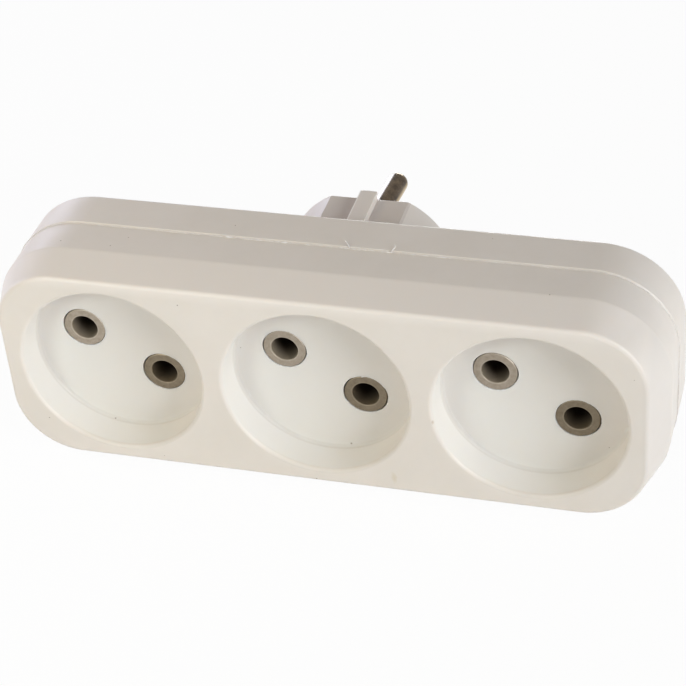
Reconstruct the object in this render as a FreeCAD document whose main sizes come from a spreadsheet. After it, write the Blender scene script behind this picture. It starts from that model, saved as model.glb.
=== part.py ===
import FreeCAD, Part
import math
import os
import Sketcher

# Three-way two-pole socket adapter, in millimetres.
# The row frame has +X along the housing, +Z up and +Y towards the wall outlet, with its origin at the centre
# of the plug's end face. Most pieces are drawn in the frame of the front face: x along, y up and z out of the
# face, so that a depth is counted back from that face. Each piece's placement turns its frame into the row's.

sizes = {
    "recess_radius": 19.5,  # round recess that a plug sits in
    "recess_depth": 8.0,
    "recess_gap": 4.7,  # front face left between neighbouring recesses
    "floor_thickness": 2.0,  # recess floor
    "end_margin": 7.1,  # recess edge to the end of the housing
    "side_margin": 4.8,  # recess edge to the long side of the housing
    "corner_radius": 17.0,  # housing corners behind the lean
    "face_corner_radius": 13.4,  # housing corners at the front face
    "face_inset_long": 3.3,  # how far each end leans in at the front face
    "face_inset_high": 1.7,  # how far each long side leans in at the front face
    "lean_depth": 8.8,  # how deep the lean goes
    "parting_depth": 17.9,  # front face to the joint between the shells
    "shell_wall": 2.4,  # side walls of both shells
    "face_wall": 2.4,  # front face between the recesses
    "rear_wall": 2.0,
    "rear_skin": 1.2,  # what is left of the rear wall behind a plug pin
    "cup_wall": 2.6,  # wall round a recess
    "web_height": 16.0,  # web that joins neighbouring cups
    "saddle_width": 20.0,  # block that joins a cup to the long sides
    "rear_step": 0.15,  # how far the rear shell stands proud of the front shell
    "lip_thickness": 1.0,  # lip of the front shell, inside the rear shell
    "lip_height": 1.2,
    "lip_gap": 0.1,  # clearance round and past the lip
    "face_edge_radius": 0.9,
    "rim_radius": 0.8,  # rounding of the recess rims
    "floor_corner_radius": 0.8,  # where a recess wall meets its floor
    "rear_edge_radius": 1.2,
    "joint_bevel": 0.3,  # on both sides of the joint between the shells
    "pin_pitch": 19.0,  # between the two poles
    "pin_tilt": 30.0,  # degrees that a socket's pair of holes is turned from level
    "pin_radius": 2.4,  # plug pin
    "pin_length": 19.0,  # plug pin, past the plug's end face
    "pin_tip_radius": 2.1,
    "pin_root_radius": 2.8,  # plug pin inside the plug's end wall
    "pin_flange_radius": 3.6,  # collar that stops the pin from inside
    "pin_flange_thickness": 1.2,
    "pin_tail_radius": 1.5,  # tail that is riveted through the bar's foot
    "pin_head_radius": 2.0,
    "pin_head_height": 0.8,
    "pin_fit": 0.05,  # radial clearance of the pin in its wall and of its tail in the foot
    "pin_end_gap": 0.2,  # room behind a fully inserted plug pin
    "pin_room_radius": 3.2,  # pocket in the rear wall that gives that room
    "bore_radius": 2.8,  # bore of a contact sleeve
    "bore_bevel": 0.12,
    "collar_radius": 4.5,  # front collar of a contact sleeve
    "collar_bevel": 0.15,
    "collar_sink": 0.05,  # recess floor to the collar's face
    "collar_play": 0.25,  # radial clearance of the collar in the floor
    "tail_radius": 3.6,  # slotted tail of a contact sleeve
    "tail_end_gap": 0.1,  # sleeve to the rear wall
    "bead_radius": 4.2,  # bead peened behind the bar
    "bead_length": 0.7,
    "slot_width": 0.6,  # slots of the tail
    "slot_land": 2.0,  # bead to the start of the slots
    "groove_depth": 0.3,  # groove that holds the spring ring
    "ring_thickness": 0.8,
    "ring_width": 1.1,
    "ring_place": 4.0,  # sleeve's end to the far side of the spring ring
    "ring_gap_angle": 32.0,
    "post_length": 3.0,  # posts between the recess floor and the bars
    "post_wall": 0.9,
    "bar_thickness": 1.0,
    "bar_width": 5.2,
    "bar_clear": 3.8,  # middle plane to the nearer edge of a strip
    "eye_radius": 5.4,  # eye of a bar round a sleeve
    "eye_fit": 0.05,  # radial clearance of a sleeve's tail in the eye
    "leg_width": 6.8,  # leg of a bar, down into the plug
    "leg_place": 3.7,  # pin axis to the outer side of the leg
    "bend_radius": 0.6,  # inside of the leg's bends
    "leg_clear": 0.8,  # leg to the plug's wall
    "plug_length": 19.6,  # rear face to the plug's end face
    "plug_wall": 2.4,
    "plug_end_wall": 3.0,  # end wall that holds the pins
    "flat_depth": 2.1,  # how far the flats above and below lie inside the plug's round outline
    "rib_width": 3.7,  # guide rib in the middle of a flat
    "clip_width": 7.0,  # groove that clears a wall outlet's earth clip
    "clip_depth": 3.2,
    "clip_land": 2.0,  # end of that groove to the rear face
    "plug_edge_radius": 0.5,
    "divider_thickness": 1.4,  # wall between the two poles inside the plug
    "screw_margin": 9.3,  # long side of the housing to a housing screw
    "screw_radius": 1.5,
    "screw_length": 11.0,  # under the head
    "screw_point": 0.8,  # bevel of the screw's end
    "screw_fit": 0.02,  # radial clearance of the formed thread
    "screw_pass": 0.2,  # radial clearance where the screw only passes
    "screw_head_radius": 2.8,
    "screw_head_height": 2.0,
    "screw_head_round": 0.9,
    "screw_seat": 2.5,  # plastic clamped under a screw head
    "well_gap": 0.5,  # radial room round a screw head
    "well_wall": 1.6,
    "boss_radius": 3.75,  # front shell's screw boss
    "boss_end_gap": 1.0,  # boss hole past the screw's point
    "cross_width": 0.8,  # cross in a screw head
    "cross_reach": 1.8,
    "cross_depth": 1.2,
}

doc = FreeCAD.newDocument("socket_adapter")
sheet = doc.addObject("Spreadsheet::Sheet", "Size")
for row, (name, size) in enumerate(sizes.items(), 1):
    sheet.set(f"A{row}", name.replace("_", " "))
    sheet.set(f"B{row}", str(size))
    sheet.setAlias(f"B{row}", name)
doc.recompute()

# Sizes that follow from the driving ones
socket_spacing = "(2 * Size.recess_radius + Size.recess_gap)"
half_length = f"({socket_spacing} + Size.recess_radius + Size.end_margin)"
half_height = "(Size.recess_radius + Size.side_margin)"
face_half_length = f"({half_length} - Size.face_inset_long)"
face_half_height = f"({half_height} - Size.face_inset_high)"
floor_back = "(Size.recess_depth + Size.floor_thickness)"
pin_reach = "(Size.recess_depth + Size.pin_length + Size.pin_end_gap)"
rear_face = f"({pin_reach} + Size.rear_skin)"
rear_inside = f"({rear_face} - Size.rear_wall)"
plug_face = f"({rear_face} + Size.plug_length)"
plug_inside = f"({plug_face} - Size.plug_end_wall)"
bar_front = f"({floor_back} + Size.post_length)"
bar_back = f"({bar_front} + Size.bar_thickness)"
foot_back = f"({plug_inside} - Size.pin_flange_thickness)"
foot_front = f"({foot_back} - Size.bar_thickness)"
leg_outside = "(Size.pin_pitch / 2 + Size.leg_place)"
leg_inside = f"({leg_outside} - Size.bar_thickness)"
plug_flat = f"({leg_outside} + Size.leg_clear + Size.plug_wall)"
plug_radius = f"({plug_flat} + Size.flat_depth)"
floor_hole = "(Size.collar_radius + Size.collar_play)"
post_radius = f"({floor_hole} + Size.post_wall)"
bead_back = f"({bar_back} + Size.bead_length)"
tail_end = f"({rear_inside} - Size.tail_end_gap)"
ring_back = f"({tail_end} - Size.ring_place)"
ring_front = f"({ring_back} - Size.ring_width)"
groove_radius = "(Size.tail_radius - Size.groove_depth)"
seat_depth = "(Size.parting_depth + Size.screw_seat)"
well_radius = "(Size.screw_head_radius + Size.well_gap)"
screw_height = f"({half_height} - Size.screw_margin)"

# Places of the two poles of a socket: the left hole is the upper one
pole_across = "(Size.pin_pitch / 2 * cos(Size.pin_tilt))"
pole_up = "(Size.pin_pitch / 2 * sin(Size.pin_tilt))"
sockets = {"left": -1, "middle": 0, "right": 1}
poles = {"upper": -1, "lower": 1}
pole_places = [
    (f"({socket} * {socket_spacing} + {side} * {pole_across})", f"({-side} * {pole_up})")
    for socket in sockets.values()
    for side in poles.values()
]
screw_places = [
    (f"({side} * {socket_spacing} / 2)", f"({level} * {screw_height})")
    for side in (-1, 1)
    for level in (1, -1)
]


def value(expression):
    return float(sheet.evalExpression(expression))


# Sketches

def new_sketch(body, name, depth="0", role="XY_Plane"):
    """A sketch on one of the body's own planes, or so deep behind it."""
    sketch = body.newObject("Sketcher::SketchObject", name)
    plane = [item for item in body.Origin.OriginFeatures if item.Role == role][0]
    sketch.AttachmentSupport = [(plane, "")]
    sketch.MapMode = "FlatFace"
    sketch.setExpression("AttachmentOffset.Base.z", f"-({depth})")
    return sketch


def hold(sketch, expression, kind, *where):
    """Adds a dimension that follows an expression."""
    index = sketch.addConstraint(Sketcher.Constraint(kind, *where, value(expression)))
    sketch.setExpression(f"Constraints[{index}]", expression)


def draw_circle(sketch, x, y, radius):
    centre = FreeCAD.Vector(value(x), value(y), 0)
    upright = FreeCAD.Vector(0, 0, 1)
    circle = sketch.addGeometry(Part.Circle(centre, upright, value(radius)), False)
    hold(sketch, x, "DistanceX", -1, 1, circle, 3)
    hold(sketch, y, "DistanceY", -1, 1, circle, 3)
    hold(sketch, radius, "Radius", circle)


def draw_outline(sketch, corners, radius="0"):
    """Joins the corners, counter-clockwise, into a closed outline.

    A corner is (x, y, held, step): held names the coordinates that are dimensions, and step is the line, or
    the arc of that radius about the origin, that leads on from it.
    """
    points = [FreeCAD.Vector(value(x), value(y), 0) for x, y, held, step in corners]
    edges = []
    for index, (x, y, held, step) in enumerate(corners):
        start, end = points[index], points[(index + 1) % len(points)]
        if step == "arc":
            first, last = math.atan2(start.y, start.x), math.atan2(end.y, end.x)
            whole = Part.Circle(FreeCAD.Vector(), FreeCAD.Vector(0, 0, 1), value(radius))
            shape = Part.ArcOfCircle(whole, first, last if last > first else last + 2 * math.pi)
            edges.append(sketch.addGeometry(shape, False))
            sketch.addConstraint(Sketcher.Constraint("Coincident", edges[-1], 3, -1, 1))
            hold(sketch, radius, "Radius", edges[-1])
        else:
            edges.append(sketch.addGeometry(Part.LineSegment(start, end), False))
    for index, (x, y, held, step) in enumerate(corners):
        sketch.addConstraint(Sketcher.Constraint("Coincident", edges[index - 1], 2, edges[index], 1))
        if "x" in held:
            hold(sketch, x, "DistanceX", -1, 1, edges[index], 1)
        if "y" in held:
            hold(sketch, y, "DistanceY", -1, 1, edges[index], 1)


def draw_polygon(sketch, *points):
    draw_outline(sketch, [(x, y, "xy", "line") for x, y in points])


def draw_box(sketch, x0, x1, y0, y1):
    draw_polygon(sketch, (x0, y0), (x1, y0), (x1, y1), (x0, y1))


def draw_rounded(sketch, half_x, half_y, radius):
    """A rectangle about the origin with round corners, in counter-clockwise order from the upper right."""
    centre_x, centre_y = f"({half_x} - {radius})", f"({half_y} - {radius})"
    arcs = []
    for turn, (side_x, side_y) in enumerate(((1, 1), (-1, 1), (-1, -1), (1, -1))):
        centre = FreeCAD.Vector(side_x * value(centre_x), side_y * value(centre_y), 0)
        whole = Part.Circle(centre, FreeCAD.Vector(0, 0, 1), value(radius))
        first = turn * math.pi / 2
        arcs.append(sketch.addGeometry(Part.ArcOfCircle(whole, first, first + math.pi / 2), False))
    for turn, direction in enumerate(("Horizontal", "Vertical", "Horizontal", "Vertical")):
        before, after = arcs[turn], arcs[(turn + 1) % 4]
        ends = sketch.getPoint(before, 2), sketch.getPoint(after, 1)
        side = sketch.addGeometry(Part.LineSegment(*ends), False)
        sketch.addConstraint(Sketcher.Constraint("Tangent", before, 2, side, 1))
        sketch.addConstraint(Sketcher.Constraint("Tangent", side, 2, after, 1))
        sketch.addConstraint(Sketcher.Constraint(direction, side))
    for arc in arcs[1:]:
        sketch.addConstraint(Sketcher.Constraint("Equal", arcs[0], arc))
    sketch.addConstraint(Sketcher.Constraint("Symmetric", arcs[0], 3, arcs[2], 3, -1, 1))
    hold(sketch, radius, "Radius", arcs[0])
    hold(sketch, centre_x, "DistanceX", -1, 1, arcs[0], 3)
    hold(sketch, centre_y, "DistanceY", -1, 1, arcs[0], 3)


def mirrored_twice(quarter, arcs):
    """The corners of an outline that is alike in all four quarters, from its upper right one.

    Step 0 leads from the quarter's first corner to its second, the last step to the next quarter, and step -1
    back to the quarter before. Those in arcs are arcs about the origin.
    """
    corners = []
    for side_x, side_y, back in ((1, 1, 0), (-1, 1, 1), (-1, -1, 0), (1, -1, 1)):
        order = list(enumerate(quarter))
        for index, (x, y, held) in reversed(order) if back else order:
            step = "arc" if index - back in arcs else "line"
            corners.append((f"({side_x} * {x})", f"({side_y} * {y})", held, step))
    return corners


# Features

def extrude(body, kind, name, sketch, length, toward="rear"):
    """A Pad or a Pocket, towards the front face or the rear."""
    feature = body.newObject(f"PartDesign::{kind}", name)
    feature.Profile = sketch
    feature.setExpression("Length", length)
    feature.Reversed = (toward == "rear") == (kind == "Pad")
    return feature


def loft(body, kind, name, profile, section):
    feature = body.newObject(f"PartDesign::{kind}", name)
    feature.Profile = profile
    feature.Sections = [section]
    feature.Ruled = True
    return feature


def revolve(body, name, sketch, angle="360"):
    """Turns a profile drawn on the body's XZ plane about its vertical axis."""
    feature = body.newObject("PartDesign::Revolution", name)
    feature.Profile = sketch
    feature.ReferenceAxis = (sketch, ["V_Axis"])
    feature.setExpression("Angle", angle)
    return feature


def dress(body, kind, name, size, chosen):
    """A Fillet or a Chamfer on the edges of the piece so far for which chosen is true."""
    doc.recompute()
    base = body.Tip
    edges = [f"Edge{place}" for place, edge in enumerate(base.Shape.Edges, 1) if chosen(edge)]
    if not edges:
        raise ValueError(f"{body.Label} has no edge for {name}")
    feature = body.newObject(f"PartDesign::{kind}", name)
    feature.Base = (base, edges)
    feature.setExpression("Radius" if kind == "Fillet" else "Size", size)
    return feature


def at_depth(edge, depth):
    """Whether an edge lies flat at a depth."""
    box = edge.BoundBox
    return abs(box.ZMin + value(depth)) < 1e-4 and abs(box.ZMax + value(depth)) < 1e-4


def on_rounded(edge, half_x, half_y, radius):
    """Whether an edge's middle and ends lie on a rounded rectangle about the origin."""
    middle = edge.valueAt((edge.FirstParameter + edge.LastParameter) / 2)
    r = value(radius)
    for point in [middle, *(vertex.Point for vertex in edge.Vertexes)]:
        x, y = abs(point.x) - value(half_x) + r, abs(point.y) - value(half_y) + r
        if abs(math.hypot(max(x, 0), max(y, 0)) + min(max(x, y), 0) - r) > 1e-3:
            return False
    return True


def is_circle(edge, radius):
    return isinstance(edge.Curve, Part.Circle) and abs(edge.Curve.Radius - value(radius)) < 1e-4


def place(body, x, y, z, *turns):
    """Puts a body where expressions say, after the turns, each an axis and degrees."""
    rotation = FreeCAD.Rotation()
    for axis, degrees in turns:
        rotation = FreeCAD.Rotation(FreeCAD.Vector(*axis), degrees) * rotation
    body.Placement = FreeCAD.Placement(FreeCAD.Vector(value(x), value(y), value(z)), rotation)
    for coordinate, expression in zip("xyz", (x, y, z)):
        body.setExpression(f"Placement.Base.{coordinate}", expression)


face_to_front = ((1, 0, 0), 90)  # a piece drawn in the frame of the front face
axis_to_wall = ((1, 0, 0), -90)  # a piece drawn with its z towards the wall outlet
half_turn = ((0, 1, 0), 180)


# Front shell: one moulding with the three round recesses as cups, screw bosses between them, posts that seat
# the bars behind the floors, and a lip that locates the rear shell

def make_front_shell():
    body = doc.addObject("PartDesign::Body", "front_shell")
    wall = "Size.shell_wall"
    outer = half_length, half_height, "Size.corner_radius"
    inner = f"({half_length} - {wall})", f"({half_height} - {wall})", f"(Size.corner_radius - {wall})"
    face = face_half_length, face_half_height, "Size.face_corner_radius"
    face_inner = (
        f"({face_half_length} - {wall})",
        f"({face_half_height} - {wall})",
        f"(Size.face_corner_radius - {wall})",
    )
    straight_depth = "(Size.parting_depth - Size.lean_depth)"

    outline = new_sketch(body, "Outline", "Size.lean_depth")
    draw_rounded(outline, *outer)
    extrude(body, "Pad", "StraightSides", outline, straight_depth)
    lean_outline = new_sketch(body, "LeanOutline", "Size.lean_depth")
    draw_rounded(lean_outline, *outer)
    face_outline = new_sketch(body, "FaceOutline")
    draw_rounded(face_outline, *face)
    loft(body, "AdditiveLoft", "LeaningSides", lean_outline, face_outline)

    inside = new_sketch(body, "InsideOutline", "Size.parting_depth")
    draw_rounded(inside, *inner)
    extrude(body, "Pocket", "Inside", inside, straight_depth, "front")
    inside_lean = new_sketch(body, "InsideLeanOutline", "Size.lean_depth")
    draw_rounded(inside_lean, *inner)
    inside_face = new_sketch(body, "InsideFaceOutline", "Size.face_wall")
    draw_rounded(inside_face, *face_inner)
    loft(body, "SubtractiveLoft", "InsideLean", inside_lean, inside_face)

    # the web first, then what each socket has: it is drawn for the left one and repeated along the face
    start = "(Size.face_wall / 2)"
    web = new_sketch(body, "WebOutline", start)
    rise = "(Size.web_height / 2)"
    draw_box(web, f"(-{socket_spacing})", socket_spacing, f"(-{rise})", rise)
    extrude(body, "Pad", "Web", web, f"{floor_back} - {start}")

    middle = f"(-{socket_spacing})"
    cup = new_sketch(body, "CupOutline", start)
    draw_circle(cup, middle, "0", "(Size.recess_radius + Size.cup_wall)")
    saddle = new_sketch(body, "SaddleOutline", start)
    sides = f"({middle} - Size.saddle_width / 2)", f"({middle} + Size.saddle_width / 2)"
    draw_box(saddle, *sides, f"(-{face_half_height})", face_half_height)
    post = new_sketch(body, "PostOutline", "(Size.recess_depth + Size.floor_thickness / 2)")
    recess = new_sketch(body, "RecessOutline")
    draw_circle(recess, middle, "0", "Size.recess_radius")
    holes = new_sketch(body, "HoleOutline", "(Size.recess_depth / 2)")
    for x, y in pole_places[:2]:
        draw_circle(post, x, y, post_radius)
        draw_circle(holes, x, y, floor_hole)
    repeated = [
        extrude(body, "Pad", "Cup", cup, f"{floor_back} - {start}"),
        extrude(body, "Pad", "Saddle", saddle, f"{floor_back} - {start}"),
        extrude(body, "Pad", "Posts", post, "Size.post_length + Size.floor_thickness / 2"),
        extrude(body, "Pocket", "Recess", recess, "Size.recess_depth"),
        extrude(body, "Pocket", "Holes", holes, f"{bar_front} - Size.recess_depth / 2"),
    ]
    pattern = body.newObject("PartDesign::LinearPattern", "ThreeSockets")
    pattern.Originals = repeated
    pattern.Direction = (recess, ["H_Axis"])
    pattern.setExpression("Length", f"2 * {socket_spacing}")
    pattern.Occurrences = len(sockets)
    body.Tip = pattern

    bosses = new_sketch(body, "BossOutline", start)
    pilots = new_sketch(body, "PilotOutline", "Size.parting_depth")
    for x, y in screw_places:
        draw_circle(bosses, x, y, "Size.boss_radius")
        draw_circle(pilots, x, y, "(Size.screw_radius + Size.screw_fit)")
    extrude(body, "Pad", "Bosses", bosses, f"Size.parting_depth - {start}")
    pilot_depth = "Size.screw_length - Size.screw_seat + Size.boss_end_gap"
    extrude(body, "Pocket", "Pilots", pilots, pilot_depth, "front")

    lip = new_sketch(body, "LipOutline", "Size.parting_depth")
    draw_rounded(lip, *inner)
    draw_rounded(lip, *(f"({part} + Size.lip_thickness)" for part in inner))
    extrude(body, "Pad", "Lip", lip, "Size.lip_height")

    dress(body, "Fillet", "FloorCorners", "Size.floor_corner_radius",
          lambda edge: at_depth(edge, "Size.recess_depth") and is_circle(edge, "Size.recess_radius"))
    dress(body, "Fillet", "RecessRims", "Size.rim_radius",
          lambda edge: at_depth(edge, "0") and is_circle(edge, "Size.recess_radius"))
    dress(body, "Fillet", "FaceEdge", "Size.face_edge_radius",
          lambda edge: at_depth(edge, "0") and on_rounded(edge, *face))
    dress(body, "Chamfer", "JointBevel", "Size.joint_bevel",
          lambda edge: at_depth(edge, "Size.parting_depth") and on_rounded(edge, *outer))
    place(body, "0", f"(-{plug_face})", "0", face_to_front)
    return body


# Rear shell: one moulding of the rear half of the housing with the hollow plug body, its guide ribs and earth
# clip grooves, the wells of the four screws, posts behind the bars' outer eyes and the wall between the poles

def make_rear_shell():
    body = doc.addObject("PartDesign::Body", "rear_shell")
    step, wall = "Size.rear_step", "Size.shell_wall"
    outer = f"({half_length} + {step})", f"({half_height} + {step})", f"(Size.corner_radius + {step})"
    inner = f"({half_length} - {wall})", f"({half_height} - {wall})", f"(Size.corner_radius - {wall})"
    in_wall = f"({rear_face} - Size.rear_wall / 2)"
    in_plug_end = f"({plug_face} - Size.plug_end_wall / 2)"

    outline = new_sketch(body, "Outline", "Size.parting_depth")
    draw_rounded(outline, *outer)
    extrude(body, "Pad", "Sides", outline, f"{rear_face} - Size.parting_depth")

    # the plug body: a cylinder with a flat above and below, and a rib that keeps the full radius on each flat
    plug = new_sketch(body, "PlugOutline", in_wall)
    rib = "(Size.rib_width / 2)"
    quarter = [
        (f"sqrt({plug_radius}^2 - {plug_flat}^2)", plug_flat, "y"),
        (rib, plug_flat, "xy"),
        (rib, f"sqrt({plug_radius}^2 - {rib}^2)", "x"),
    ]
    draw_outline(plug, mirrored_twice(quarter, arcs=(-1, 2)), plug_radius)
    extrude(body, "Pad", "PlugBody", plug, f"{plug_face} - {in_wall}")
    half_clip = "(Size.clip_width / 2)"
    for side, name in ((-1, "Left"), (1, "Right")):
        groove = new_sketch(body, f"{name}ClipOutline", plug_face)
        ends = [f"({side} * {plug_radius} {sign} Size.clip_depth)" for sign in "-+"]
        draw_box(groove, *ends, f"(-{half_clip})", half_clip)
        extrude(body, "Pocket", f"{name}Clip", groove, "Size.plug_length - Size.clip_land", "front")

    inside = new_sketch(body, "InsideOutline", "Size.parting_depth")
    draw_rounded(inside, *inner)
    extrude(body, "Pocket", "Inside", inside, f"{rear_inside} - Size.parting_depth")
    rebate = new_sketch(body, "RebateOutline", "Size.parting_depth")
    draw_rounded(rebate, *(f"({part} + Size.lip_thickness + Size.lip_gap)" for part in inner))
    extrude(body, "Pocket", "Rebate", rebate, "Size.lip_height + Size.lip_gap")

    # the plug's inside keeps one wall thickness behind the round sides, the flats and the grooves
    hollow = new_sketch(body, "HollowOutline", "Size.parting_depth")
    hollow_radius = f"({plug_radius} - Size.plug_wall)"
    flat, groove_side = f"({plug_flat} - Size.plug_wall)", "(Size.clip_width / 2 + Size.plug_wall)"
    quarter = [
        (f"({hollow_radius} - Size.clip_depth)", groove_side, "xy"),
        (f"sqrt({hollow_radius}^2 - {groove_side}^2)", groove_side, "y"),
        (f"sqrt({hollow_radius}^2 - {flat}^2)", flat, "y"),
    ]
    draw_outline(hollow, mirrored_twice(quarter, arcs=(1,)), hollow_radius)
    extrude(body, "Pocket", "Hollow", hollow, f"{plug_inside} - Size.parting_depth")

    # posts behind the eyes of the outer sockets, with room for the sleeves' tails and for plug pins
    posts = new_sketch(body, "PostOutline", in_wall)
    tails = new_sketch(body, "TailOutline", bar_back)
    rooms = new_sketch(body, "PinRoomOutline", bar_back)
    for x, y in pole_places[:2] + pole_places[4:]:
        draw_circle(posts, x, y, post_radius)
        draw_circle(tails, x, y, floor_hole)
        draw_circle(rooms, x, y, "Size.pin_room_radius")
    extrude(body, "Pad", "Posts", posts, f"{in_wall} - {bar_back}", "front")
    extrude(body, "Pocket", "TailRoom", tails, f"{rear_inside} - {bar_back}")
    extrude(body, "Pocket", "PinRoom", rooms, f"{pin_reach} - {bar_back}")

    columns = new_sketch(body, "ColumnOutline", in_wall)
    wells = new_sketch(body, "WellOutline", rear_face)
    passes = new_sketch(body, "PassOutline", seat_depth)
    for x, y in screw_places:
        draw_circle(columns, x, y, f"({well_radius} + Size.well_wall)")
        draw_circle(wells, x, y, well_radius)
        draw_circle(passes, x, y, "(Size.screw_radius + Size.screw_pass)")
    extrude(body, "Pad", "Columns", columns, f"{in_wall} - Size.parting_depth", "front")
    extrude(body, "Pocket", "Wells", wells, f"{rear_face} - {seat_depth}", "front")
    extrude(body, "Pocket", "Passes", passes, "Size.screw_seat", "front")

    # the wall between the poles stands square to the line through a socket's two holes
    divider = new_sketch(body, "DividerOutline", in_plug_end)
    along, across = f"({plug_radius} - Size.plug_wall / 2)", "(Size.divider_thickness / 2)"
    draw_polygon(divider, *(
        (
            f"({one} * {along} * sin(Size.pin_tilt) - {two} * {across} * cos(Size.pin_tilt))",
            f"({one} * {along} * cos(Size.pin_tilt) + {two} * {across} * sin(Size.pin_tilt))",
        )
        for one, two in ((-1, 1), (-1, -1), (1, -1), (1, 1))
    ))
    extrude(body, "Pad", "Divider", divider, f"{in_plug_end} - {bar_back}", "front")

    pin_hole = "(Size.pin_root_radius + Size.pin_fit)"
    pin_holes = new_sketch(body, "PinHoleOutline", plug_inside)
    for level in poles.values():
        draw_circle(pin_holes, "0", f"({level} * Size.pin_pitch / 2)", pin_hole)
    extrude(body, "Pocket", "PinHoles", pin_holes, "Size.plug_end_wall")

    dress(body, "Fillet", "RearEdge", "Size.rear_edge_radius",
          lambda edge: at_depth(edge, rear_face) and on_rounded(edge, *outer))
    dress(body, "Fillet", "PlugEndEdge", "Size.plug_edge_radius",
          lambda edge: at_depth(edge, plug_face) and not is_circle(edge, pin_hole))
    dress(body, "Chamfer", "JointBevel", "Size.joint_bevel",
          lambda edge: at_depth(edge, "Size.parting_depth") and on_rounded(edge, *outer))
    place(body, "0", f"(-{plug_face})", "0", face_to_front)
    return body


# Contact sleeves: turned, with a collar that shows in the recess floor, a shoulder on the bar, a bead peened
# behind it, and a slotted tail with a groove for the spring ring

def make_contact_sleeve(name, x, y):
    body = doc.addObject("PartDesign::Body", name)
    collar_face = "(Size.recess_depth + Size.collar_sink)"
    profile = new_sketch(body, "Profile", "0", "XZ_Plane")
    draw_polygon(profile, *((radius, f"(-{depth})") for radius, depth in (
        ("Size.bore_radius", f"({collar_face} + Size.bore_bevel)"),
        ("Size.bore_radius", tail_end),
        ("Size.tail_radius", tail_end),
        ("Size.tail_radius", ring_back),
        (groove_radius, ring_back),
        (groove_radius, ring_front),
        ("Size.tail_radius", ring_front),
        ("Size.tail_radius", bead_back),
        ("Size.bead_radius", bead_back),
        ("Size.bead_radius", bar_back),
        ("Size.tail_radius", bar_back),
        ("Size.tail_radius", bar_front),
        ("Size.collar_radius", bar_front),
        ("Size.collar_radius", f"({collar_face} + Size.collar_bevel)"),
        ("(Size.collar_radius - Size.collar_bevel)", collar_face),
        ("(Size.bore_radius + Size.bore_bevel)", collar_face),
    )))
    revolve(body, "Turned", profile)
    doc.recompute()
    slot = new_sketch(body, "SlotOutline", tail_end)
    half_slot = "(Size.slot_width / 2)"
    draw_box(slot, f"(-{half_slot})", half_slot, "(Size.bore_radius / 2)", "(Size.tail_radius * 2)")
    slit = extrude(body, "Pocket", "Slot", slot, f"{tail_end} - {bead_back} - Size.slot_land", "front")
    pattern = body.newObject("PartDesign::PolarPattern", "FourSlots")
    pattern.Originals = [slit]
    pattern.Axis = (slot, ["N_Axis"])
    pattern.Angle = 360
    pattern.Occurrences = 4
    body.Tip = pattern
    place(body, x, f"(-{plug_face})", y, face_to_front)
    return body


def make_spring_ring(name, x, y):
    """An open ring of steel strip that closes the sleeve's fingers on a plug pin."""
    body = doc.addObject("PartDesign::Body", name)
    profile = new_sketch(body, "Profile", "0", "XZ_Plane")
    outside = f"({groove_radius} + Size.ring_thickness)"
    draw_box(profile, groove_radius, outside, f"(-{ring_back})", f"(-{ring_front})")
    revolve(body, "OpenRing", profile, "360 - Size.ring_gap_angle")
    place(body, x, f"(-{plug_face})", y, face_to_front)
    return body


# Bus bars: blanked from sheet with three eyes, and bent twice, so that a leg goes down into the plug and ends
# in a foot under the plug pin. Both are the same piece, one turned half round the plug's axis

def make_bus_bar(name, *turns):
    body = doc.addObject("PartDesign::Body", name)
    thickness = "Size.bar_thickness"
    eye_places = pole_places[0::2]
    half_leg = "(Size.leg_width / 2)"

    strip = new_sketch(body, "StripOutline", bar_front)
    draw_box(strip, eye_places[0][0], eye_places[2][0], "Size.bar_clear", "(Size.bar_clear + Size.bar_width)")
    extrude(body, "Pad", "Strip", strip, thickness)
    eyes = new_sketch(body, "EyeOutline", bar_front)
    for x, y in eye_places:
        draw_circle(eyes, x, y, "Size.eye_radius")
    extrude(body, "Pad", "Eyes", eyes, thickness)
    tab = new_sketch(body, "TabOutline", bar_front)
    draw_box(tab, f"(-{half_leg})", half_leg, "(Size.bar_clear + Size.bar_width / 2)", leg_outside)
    extrude(body, "Pad", "Tab", tab, thickness)
    leg = new_sketch(body, "LegOutline", bar_front)
    draw_box(leg, f"(-{half_leg})", half_leg, leg_inside, leg_outside)
    extrude(body, "Pad", "Leg", leg, f"{foot_back} - {bar_front}")
    foot = new_sketch(body, "FootOutline", foot_front)
    draw_box(foot, f"(-{half_leg})", half_leg, "(Size.pin_pitch / 2)", leg_outside)
    extrude(body, "Pad", "Foot", foot, thickness)
    foot_end = new_sketch(body, "FootEndOutline", foot_front)
    draw_circle(foot_end, "0", "(Size.pin_pitch / 2)", half_leg)
    extrude(body, "Pad", "FootEnd", foot_end, thickness)

    eye_holes = new_sketch(body, "EyeHoleOutline", bar_front)
    for x, y in eye_places:
        draw_circle(eye_holes, x, y, "(Size.tail_radius + Size.eye_fit)")
    extrude(body, "Pocket", "EyeHoles", eye_holes, thickness)
    foot_hole = new_sketch(body, "FootHoleOutline", foot_front)
    draw_circle(foot_hole, "0", "(Size.pin_pitch / 2)", "(Size.pin_tail_radius + Size.pin_fit)")
    extrude(body, "Pocket", "FootHole", foot_hole, thickness)

    def is_bend(depths, level):
        """Chooses the edges across the leg where the sheet is bent."""
        def chosen(edge):
            box = edge.BoundBox
            across = box.XLength > value("Size.leg_width") / 2 and box.YLength + box.ZLength < 1e-4
            return across and abs(box.YMin - value(level)) < 1e-4 and any(at_depth(edge, d) for d in depths)
        return chosen

    dress(body, "Fillet", "InnerBends", "Size.bend_radius", is_bend((bar_back, foot_front), leg_inside))
    outer_bend = f"Size.bend_radius + {thickness}"
    dress(body, "Fillet", "OuterBends", outer_bend, is_bend((bar_front, foot_back), leg_outside))
    place(body, "0", f"(-{plug_face})", "0", face_to_front, *turns)
    return body


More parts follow.
